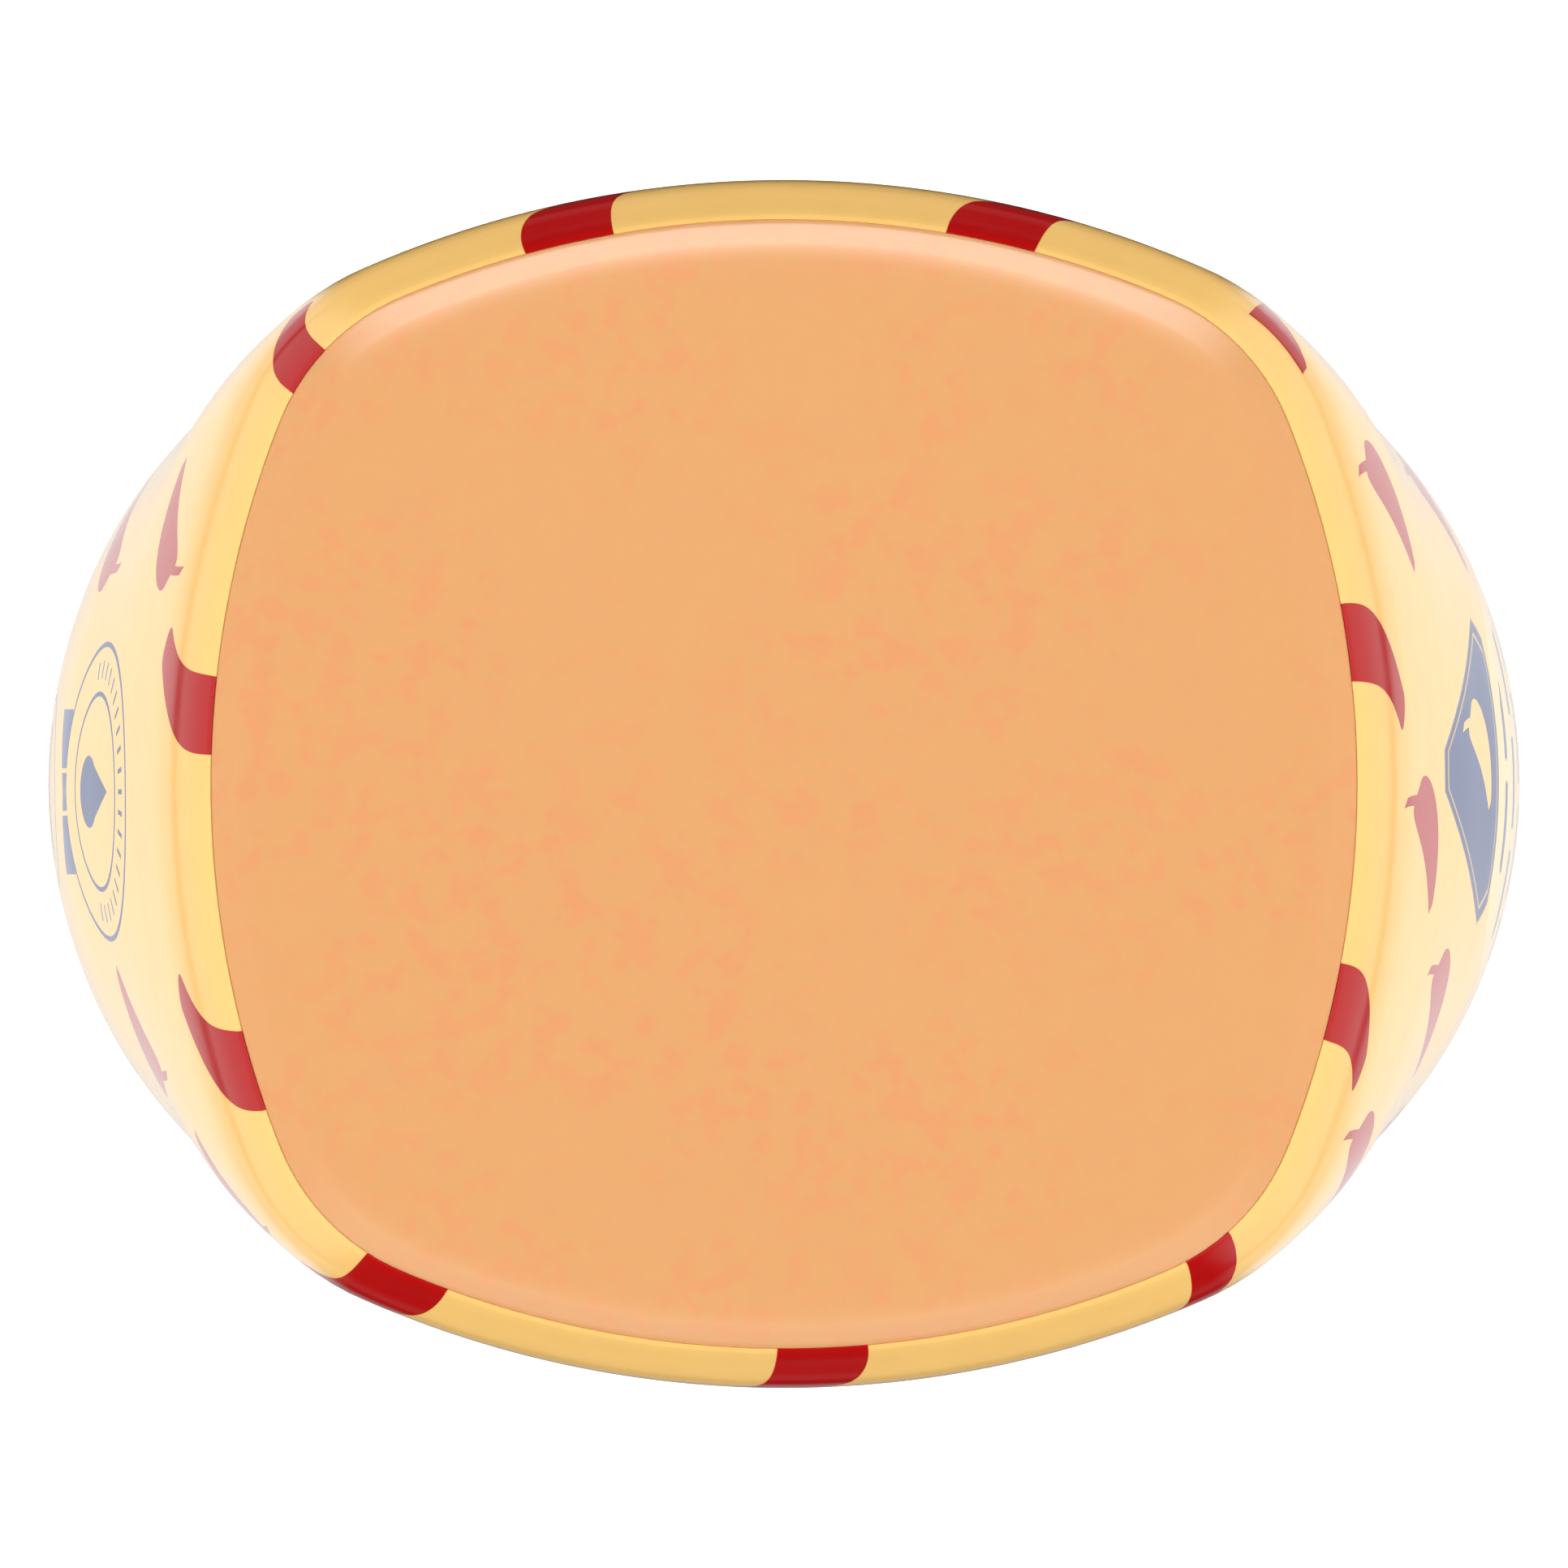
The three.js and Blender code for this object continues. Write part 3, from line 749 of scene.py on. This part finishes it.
CAP_RADIUS = 25.4
CAP_HEIGHT = 30.0
DECK_LOW = 9.8
DECK_HIGH = 11.4
SLOT_TOP = 14.2  # where the flat for the hinge ends
SLOT_FLOOR = 24.5  # how far back the wall reaches at that flat

red_plastic, nodes, shader, place = new_material("red polypropylene", IOR=1.49)
grain = nodes.noise(place, 3200, 2, 0.6)
streak = nodes.noise(nodes.node("Mapping", place, (0, 0, 0), (0, 0, 0), (60, 60, 14)), 1.0, 3)
tint = nodes.blend(streak, srgb(160, 14, 18), srgb(178, 22, 26))
tint = nodes.blend(nodes.spread(grain, 0.4, 0.8, 0.0, 0.12), tint, srgb(196, 60, 56))
nodes.join(tint, shader["Base Color"])
nodes.join(nodes.spread(streak, 0.3, 0.7, 0.3, 0.4), shader["Roughness"])
uneven = nodes.math("MULTIPLY_ADD", streak, 0.5, grain)
nodes.join(nodes.bump(uneven, 0.12, 0.0001), shader["Normal"])

skirt = [(CAP_RADIUS - 0.5 * (z - DECK_LOW) / 20, z) for z in np.arange(DECK_LOW + 0.7, 29, 0.7)]
skirt = [point for point in skirt if abs(point[1] - SLOT_TOP) > 0.3]
skirt += [(25.29, SLOT_TOP), (25.29, SLOT_TOP + 0.03)]
closure = turned(
    [
        (5.2, 5.2),
        (7.3, 5.2),
        (7.8, 5.7),
        (7.8, DECK_LOW),
        (23, DECK_LOW),
        (CAP_RADIUS, DECK_LOW),
        *sorted(skirt, key=lambda point: point[1]),
        (24.9, CAP_HEIGHT - 0.5),
        (24.4, CAP_HEIGHT),
        (23.3, CAP_HEIGHT),
        (23.8, DECK_HIGH),
        (20.2, DECK_HIGH),
        (20.2, 25.6),
        (18.9, 25.6),
        (18.9, DECK_HIGH),
        (16.4, DECK_HIGH),
        (16.1, 14.95),
        (14.9, 14.95),
        (14.6, DECK_HIGH),
        (6.2, DECK_HIGH),
        (6.2, 6.2),
        (5.2, 6.2),
        (5.2, 5.2),
    ],
    180,
)


def flatten_back(bm, low, high):
    """Flattens the outer wall at the back between two heights, to make room for the hinge."""
    for v in bm.verts:
        if low - 0.01 < v.co.z < high + 0.01 and v.co.y > SLOT_FLOOR:
            v.co.y = SLOT_FLOOR


# The thumb scoop is a shallow hollow at the front, over the lid's edge.
SCOOP_RADIUS = 20.0
scoop_y = -(CAP_RADIUS + SCOOP_RADIUS - 1)
for v in closure.verts:
    if v.co.y < -20 and math.hypot(v.co.x, v.co.y) > 24.5:
        room = SCOOP_RADIUS**2 - v.co.x**2 - (v.co.z - DECK_LOW) ** 2
        if room > 0:
            v.co.y = max(v.co.y, scoop_y + math.sqrt(room))
flatten_back(closure, DECK_LOW, SLOT_TOP)
soften(closure, 0.25, where=lambda co: co.z < 29.8 and co.y < 24)
add_thread(closure, 19.0, MOUTH_Z + 0.5)
bmesh.ops.recalc_face_normals(closure, faces=closure.faces)
finish_piece("screw_closure", closure, red_plastic, ["closure_body"])

# ---- Silicone valve ----
# A soft translucent dome with a cross slit, which opens when the bottle is squeezed and shuts by
# itself. Its thick flange is clamped in the spout.

white_silicone, nodes, shader, place = new_material("silicone", IOR=1.41)
clouding = nodes.noise(place, 300, 3)
nodes.join(nodes.blend(clouding, srgb(232, 226, 216), srgb(244, 241, 234)), shader["Base Color"])
nodes.join(nodes.spread(clouding, 0.3, 0.7, 0.42, 0.55), shader["Roughness"])
nodes.join(nodes.bump(nodes.noise(place, 2500), 0.08, 0.0001), shader["Normal"])

SLIT_HALF = (0.12, 2.5)
valve = turned([(0, 8.45), (1.2, 8.38), (2.2, 8.15), (3.1, 7.65), (3.7, 7.05), (4.4, 6.8)], 96)
for axis in range(2):
    for cut in (-SLIT_HALF[1], -SLIT_HALF[0], SLIT_HALF[0], SLIT_HALF[1]):
        middle, across_cut = [0, 0, 0], [0, 0, 0]
        middle[axis], across_cut[axis] = cut, 1
        geometry = valve.verts[:] + valve.edges[:] + valve.faces[:]
        bmesh.ops.bisect_plane(valve, geom=geometry, plane_co=middle, plane_no=across_cut)
lips = []
for face in valve.faces:
    near, far = sorted(abs(c) for c in face.calc_center_median()[:2])
    if near < SLIT_HALF[0] and far < SLIT_HALF[1]:
        lips.append(face)
bmesh.ops.delete(valve, geom=lips, context="FACES")
if max(valve.faces, key=lambda face: abs(face.normal.z)).normal.z < 0:
    bmesh.ops.reverse_faces(valve, faces=valve.faces)
bmesh.ops.solidify(valve, geom=valve.faces, thickness=0.5)
flange = turned([(4.3, 6.4), (5.9, 6.4), (5.9, 7.9), (4.3, 7.9), (4.3, 6.4)], 96)
soften(flange, 0.25, 3)
add_skin(valve, flange)
finish_piece("slit_valve", valve, white_silicone, ["silicone_valve"])

# ---- Valve retainer ----
# A ring of uncoloured polypropylene, pushed into the spout from inside until its flange meets the
# deck. It holds the valve's flange against the spout's lip.

natural_plastic, nodes, shader, place = new_material("natural polypropylene", IOR=1.49)
haze = nodes.noise(place, 240, 3)
nodes.join(nodes.blend(haze, srgb(238, 235, 226), srgb(248, 246, 240)), shader["Base Color"])
nodes.join(nodes.spread(haze, 0.3, 0.7, 0.36, 0.48), shader["Roughness"])
nodes.join(nodes.bump(nodes.noise(place, 1800), 0.1, 0.0001), shader["Normal"])

retainer = turned(
    [
        (4.6, 8.15),
        (5.95, 8.15),
        (5.95, 11.65),
        (8.55, 11.65),
        (8.55, 12.75),
        (4.6, 12.75),
        (4.6, 8.15),
    ],
    96,
)
soften(retainer, 0.2)
finish_piece("valve_ring", retainer, natural_plastic, ["valve_retainer"])

# ---- Flip lid ----
# A flat red cup that the bottle stands on. Inside, a collar fits round the spout and a stud holds
# the valve shut; outside, the standing face is dished, with a gate mark in the middle.

LID_HEIGHT = 9.5
LID_EDGE = 2.0  # radius of the rounding round the standing face
LID_SLOT = 6.9  # where the flat for the hinge starts

edge_angles = np.linspace(0, math.pi / 2, 9)
edge = [(23.4 + LID_EDGE * math.sin(a), LID_EDGE * (1 - math.cos(a))) for a in edge_angles]
lid = turned(
    [
        (0, 0.55),
        (0.9, 0.55),
        (1.1, 0.35),
        (18.6, 0.35),
        (19.4, 0),
        *edge,
        (CAP_RADIUS, 4.4),
        (CAP_RADIUS, LID_SLOT - 0.03),
        (CAP_RADIUS, LID_SLOT),
        (CAP_RADIUS, LID_HEIGHT),
        (23.8, LID_HEIGHT),
        (23.6, 1.7),
        (9.3, 1.7),
        (9.3, 8),
        (8.3, 8),
        (8.3, 1.7),
        (3, 1.7),
        (2.7, 6.4),
        (0, 6.4),
    ],
    180,
)
flatten_back(lid, LID_SLOT, LID_HEIGHT)
soften(lid, 0.3, where=lambda co: co.z > 0.6 and co.y < 24)
finish_piece("hinged_lid", lid, red_plastic, ["flip_lid"], body="lid")

# ---- Living hinge ----
# A thin strip of the same moulding that joins closure and lid across the parting line. A groove
# on its inside makes it bend there.

HINGE_Z = 9.65  # the parting line, where the strip bends
strip = bmesh.new()
bmesh.ops.create_cube(strip, size=1)
bmesh.ops.scale(strip, vec=(12, 0.55, 6.6), verts=strip.verts)
bmesh.ops.translate(strip, vec=(0, 24.975, 10.6), verts=strip.verts)
for cut in np.linspace(8.6, 10.7, 13):
    geometry = strip.verts[:] + strip.edges[:] + strip.faces[:]
    bmesh.ops.bisect_plane(strip, geom=geometry, plane_co=(0, 0, cut), plane_no=(0, 0, 1))
for v in strip.verts:
    if v.co.y < 25:
        v.co.y += 0.3 * max(0, 1 - abs(v.co.z - HINGE_Z) / 0.6)
hinge = finish_piece("hinge_strip", strip, red_plastic, ["living_hinge"], body=None)
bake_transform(hinge)

# ---- Studio ----
# A pale floor, soft white light all round, and a long lens that looks straight down on the base.

floor_bm = bmesh.new()
bmesh.ops.create_grid(floor_bm, x_segments=1, y_segments=1, size=6.0)
bmesh.ops.translate(floor_bm, vec=(0, 0, -0.0002), verts=floor_bm.verts)
floor_mesh = bpy.data.meshes.new("floor")
floor_bm.to_mesh(floor_mesh)
floor_bm.free()
floor = bpy.data.objects.new("floor", floor_mesh)
bpy.context.scene.collection.objects.link(floor)
paper, nodes, shader, place = new_material(
    "pale floor", Roughness=0.9, Emission_Color=(1, 1, 1, 1)
)
fibre = nodes.noise(place, 900, 2)
fibre = nodes.blend(fibre, (0.84, 0.84, 0.84, 1), (0.88, 0.88, 0.88, 1))
seen = nodes.node("LightPath")
nodes.join(nodes.blend(seen, (0.25, 0.25, 0.25, 1), fibre), shader["Base Color"])
nodes.join(nodes.math("MULTIPLY", seen, 0.35), shader["Emission Strength"])
under = nodes.node("NewGeometry", output=6)
surface = nodes.tree.nodes["Principled BSDF"].outputs[0]
both = nodes.node("MixShader", under, surface, nodes.node("BsdfTransparent"))
nodes.join(both, nodes.tree.nodes["Material Output"].inputs["Surface"])
floor_mesh.materials.append(paper)
floor.visible_glossy = False

# Mirror-like surfaces see soft boxes: one high at the back, and long ones low at both sides.
# Everything else is lit by soft light, stronger from both sides. The strengths go by direction.
BACK_BOX = 5.9
FRONT_BOX = 1.3
SIDE_LIGHT = 4.6
world = bpy.data.worlds.new("studio")
bpy.context.scene.world = world
world.use_nodes = True
world.cycles.sampling_method = "NONE"
nodes = Shading(world.node_tree)
x, y, z = nodes.axes(nodes.node("TexCoord"))
xx, yy = nodes.math("MULTIPLY", x, x), nodes.math("MULTIPLY", y, y)
sideways = nodes.spread(nodes.math("DIVIDE", xx, nodes.math("ADD", xx, yy)), 0.26, 0.46)
side_box = nodes.spread(z, -0.8, -0.87, 0.7, 1.1)
round_share = nodes.math("DIVIDE", yy, nodes.math("ADD", xx, yy))
gap = nodes.math("MULTIPLY_ADD", round_share, -0.3, nodes.math("ADD", z, 0.785))
gap = nodes.spread(nodes.math("ABSOLUTE", gap), 0.005, 0.035, 0.35, 1.0)
below = nodes.math("SQRT", nodes.math("MAXIMUM", nodes.math("ADD", z, 1.0), 0.0))
below = nodes.math("MULTIPLY_ADD", below, 1.5, 0.72)
side_box = nodes.math("MINIMUM", nodes.math("MULTIPLY", side_box, gap), below)
wide_box = nodes.spread(nodes.away(z, -0.68), 0.0, 0.1, 0.14, 0.03)
near_floor = nodes.spread(z, -0.82, -0.95, 0.0, 0.26)
near_floor = nodes.math("MULTIPLY", near_floor, nodes.spread(y, 0.1, -0.1))
wide_box = nodes.math("ADD", wide_box, near_floor)
low = nodes.math("SUBTRACT", side_box, wide_box)
low = nodes.math("MULTIPLY_ADD", low, sideways, wide_box)
behind = nodes.math("DIVIDE", y, nodes.math("SQRT", nodes.math("ADD", xx, yy)))
key = nodes.math("MULTIPLY", nodes.spread(z, 0.16, 0.3), nodes.spread(z, 1.0, 0.78))
facing = nodes.spread(behind, -0.35, -0.9, 0.0, FRONT_BOX)
facing = nodes.math("ADD", facing, nodes.spread(behind, 0.62, 0.98, 0.0, BACK_BOX))
high = nodes.math("MULTIPLY_ADD", key, facing, 0.9)
rise = nodes.spread(z, -0.05, 0.1)
mirrored = nodes.math("MULTIPLY_ADD", nodes.math("SUBTRACT", high, low), rise, low)
soft = nodes.math("MULTIPLY", xx, nodes.spread(z, -0.1, 0.6, 0.0, SIDE_LIGHT))
soft = nodes.math("ADD", soft, nodes.math("MULTIPLY_ADD", y, -0.1, 0.5))
is_mirror = nodes.math("MULTIPLY", *(nodes.node("LightPath", output=i) for i in (3, 5)))
strength = nodes.math("MULTIPLY_ADD", nodes.math("SUBTRACT", mirrored, soft), is_mirror, soft)
nodes.tree.nodes["Background"].inputs["Color"].default_value = (1, 1, 1, 1)
nodes.join(strength, nodes.tree.nodes["Background"].inputs["Strength"])

bpy.context.scene.view_settings.view_transform = "Standard"
camera = bpy.data.objects.new("camera", bpy.data.cameras.new("camera"))
camera.data.lens = 347
camera.data.sensor_width = 36
camera.location = (0, 0, 0.001 * BASE_Z + 0.7)  # 0.7 m above the base
bpy.context.scene.collection.objects.link(camera)
bpy.context.scene.camera = camera
